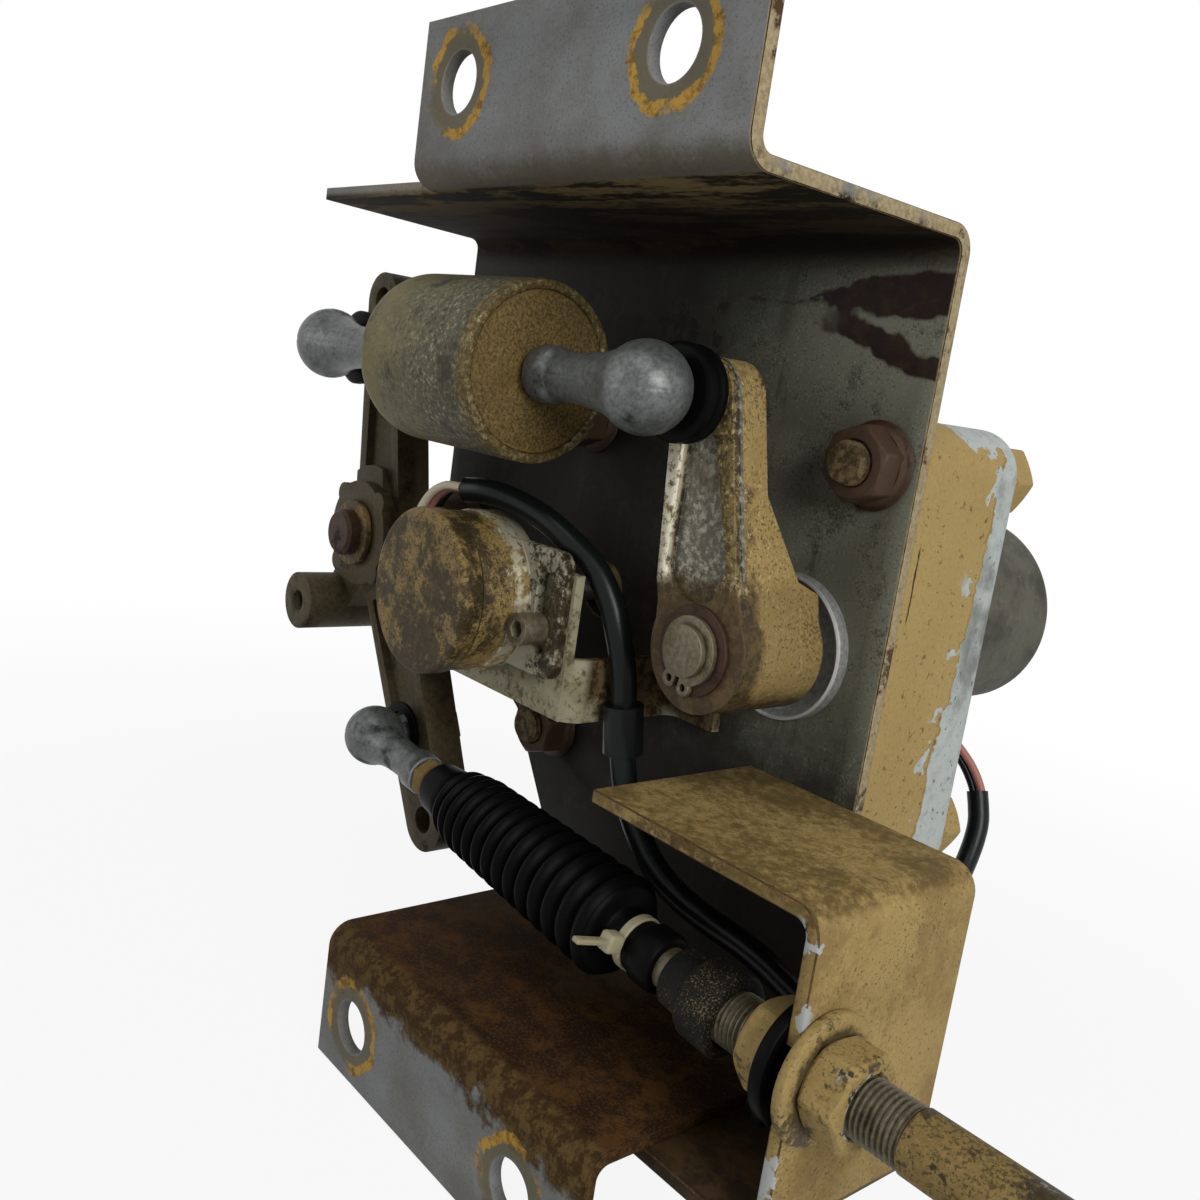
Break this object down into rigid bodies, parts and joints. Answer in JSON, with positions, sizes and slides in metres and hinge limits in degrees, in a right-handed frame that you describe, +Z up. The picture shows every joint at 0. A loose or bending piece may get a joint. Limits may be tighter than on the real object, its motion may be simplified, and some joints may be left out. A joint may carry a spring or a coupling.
{
  "type": "engine governor actuator",
  "caption": "Governor actuator on a folded steel bracket: a geared motor turns a lever that works a relay lever through a spring link and moves a push-pull control cable.",
  "frame": {"origin": "centre of the four mounting holes, on the front face of the bracket's lips", "axes": "X to the right along the web, Y back from the mounting face towards the motor, Z up"},
  "size_m": [0.288, 0.1637, 0.268],
  "materials": {
    "bracket_paint": "worn grey-blue paint, stained",
    "tan_paint": "speckled tan paint, chipped at the edges",
    "blue_paint": "pale blue paint, chipped",
    "motor_paint": "mottled matte grey",
    "zinc": "zinc plated, dull",
    "olive_zinc": "olive passivated, worn",
    "bare_steel": "bare, greasy",
    "rusty_steel": "rusted dark brown",
    "cast_lever": "cast, grey-brown, worn",
    "gear_steel": "machined",
    "bronze": "sintered bush",
    "rubber": "dusty black",
    "black_sleeve": "black sleeve",
    "connector": "black",
    "tie": "off-white nylon",
    "wires": "white, pink and black insulation"
  },
  "bodies": {
    "frame": {"mounting_bracket": "bracket_paint", "cable_bracket": "tan_paint", "gear_case": "tan_paint", "case_plate": "blue_paint", "case_bolts": "tan_paint", "case_nuts": "rusty_steel", "motor_can": "motor_paint", "shaft_bush": "bronze", "shaft_seal": "bare_steel", "pivot_post": "rusty_steel", "pivot_nut": "bare_steel", "pivot_ring": "rusty_steel", "sensor_bracket": "blue_paint", "bracket_screws": "rusty_steel", "sensor_body": "tan_paint", "sensor_cap": "tan_paint", "sensor_screws": "rusty_steel", "cable_hub": "bare_steel", "hub_nuts": "tan_paint", "hub_washer": "tan_paint", "slot_pad": "rubber", "sensor_wires": "wires", "sensor_lead": "black_sleeve", "lead_joint": "black_sleeve", "motor_lead": "black_sleeve", "lead_connector": "connector"},
    "drive": {"output_shaft": "bare_steel", "sector_gear": "gear_steel", "drive_lever": "tan_paint", "shaft_washer": "rusty_steel", "shaft_circlip": "rusty_steel", "drive_ball_stud": "zinc", "drive_stud_nut": "tan_paint"},
    "link": {"link_capsule": "olive_zinc", "link_cap": "tan_paint", "link_rod": "bare_steel", "link_spring": "gear_steel", "link_stem": "zinc", "drive_socket": "zinc", "relay_socket": "zinc", "link_boots": "rubber"},
    "relay": {"relay_lever": "cast_lever", "relay_bush": "bronze", "relay_ball_stud": "zinc", "cable_ball_stud": "zinc", "relay_stud_nuts": "bare_steel"},
    "reduction": {"reduction_gear": "gear_steel"},
    "rotor": {"motor_rotor": "gear_steel"},
    "sensor_rotor": {"sensor_shaft": "gear_steel"},
    "swivel": {"swivel_tube": "bare_steel", "swivel_sleeve": "rubber", "boot_tie": "tie"},
    "cable": {"cable_rod": "bare_steel", "rod_nut": "tan_paint", "cable_socket": "zinc", "cable_socket_boot": "rubber", "cable_boot": "rubber"}
  },
  "joints": [
    {"name": "drive_turn", "type": "hinge", "parent": "frame", "child": "drive", "pos_m": [0.0315, 0.04, 0.0012], "axis": [0, 1, 0], "range_deg": [-4, 24]},
    {"name": "relay_turn", "type": "hinge", "parent": "frame", "child": "relay", "pos_m": [-0.1103, 0.04, 0.0012], "axis": [0, 1, 0], "range_deg": [-4.02, 24.02]},
    {"name": "link_swing", "type": "hinge", "parent": "drive", "child": "link", "pos_m": [0.02227, 0.018, 0.05694], "axis": [0, 1, 0], "range_deg": [-24.02, 4.02]},
    {"name": "reduction_turn", "type": "hinge", "parent": "frame", "child": "reduction", "pos_m": [-0.00829, 0.09, -0.01224], "axis": [0, 1, 0], "range_deg": [-53.58, 8.97]},
    {"name": "rotor_turn", "type": "hinge", "parent": "frame", "child": "rotor", "pos_m": [0.02284, 0.11, 0.00775], "axis": [0, 1, 0], "range_deg": [-27.9, 166.7]},
    {"name": "sensor_turn", "type": "hinge", "parent": "frame", "child": "sensor_rotor", "pos_m": [-0.0381, 0.06, -0.0006], "axis": [0, 1, 0], "range_deg": [-6.97, 41.68]},
    {"name": "cable_swing", "type": "hinge", "parent": "frame", "child": "swivel", "pos_m": [0.066, 0.0235, -0.065], "axis": [0, 1, 0], "range_deg": [-3.69, 0.62]},
    {"name": "cable_slide", "type": "slide", "parent": "swivel", "child": "cable", "axis": [-0.9971, 0, 0.0757], "range_m": [-0.00425, 0.02449], "deforming": ["cable_boot"]}
  ],
  "couplings": [
    {"joint": "relay_turn", "follows": "drive_turn", "ratio": 1},
    {"joint": "link_swing", "follows": "drive_turn", "ratio": -1},
    {"joint": "reduction_turn", "follows": "drive_turn", "ratio": -2.2308},
    {"joint": "rotor_turn", "follows": "drive_turn", "ratio": 6.9402},
    {"joint": "sensor_turn", "follows": "drive_turn", "ratio": 1.735},
    {"joint": "cable_swing", "follows": "drive_turn", "ratio": -0.1535},
    {"joint": "cable_slide", "follows": "drive_turn", "m_per_rad": 0.058}
  ]
}
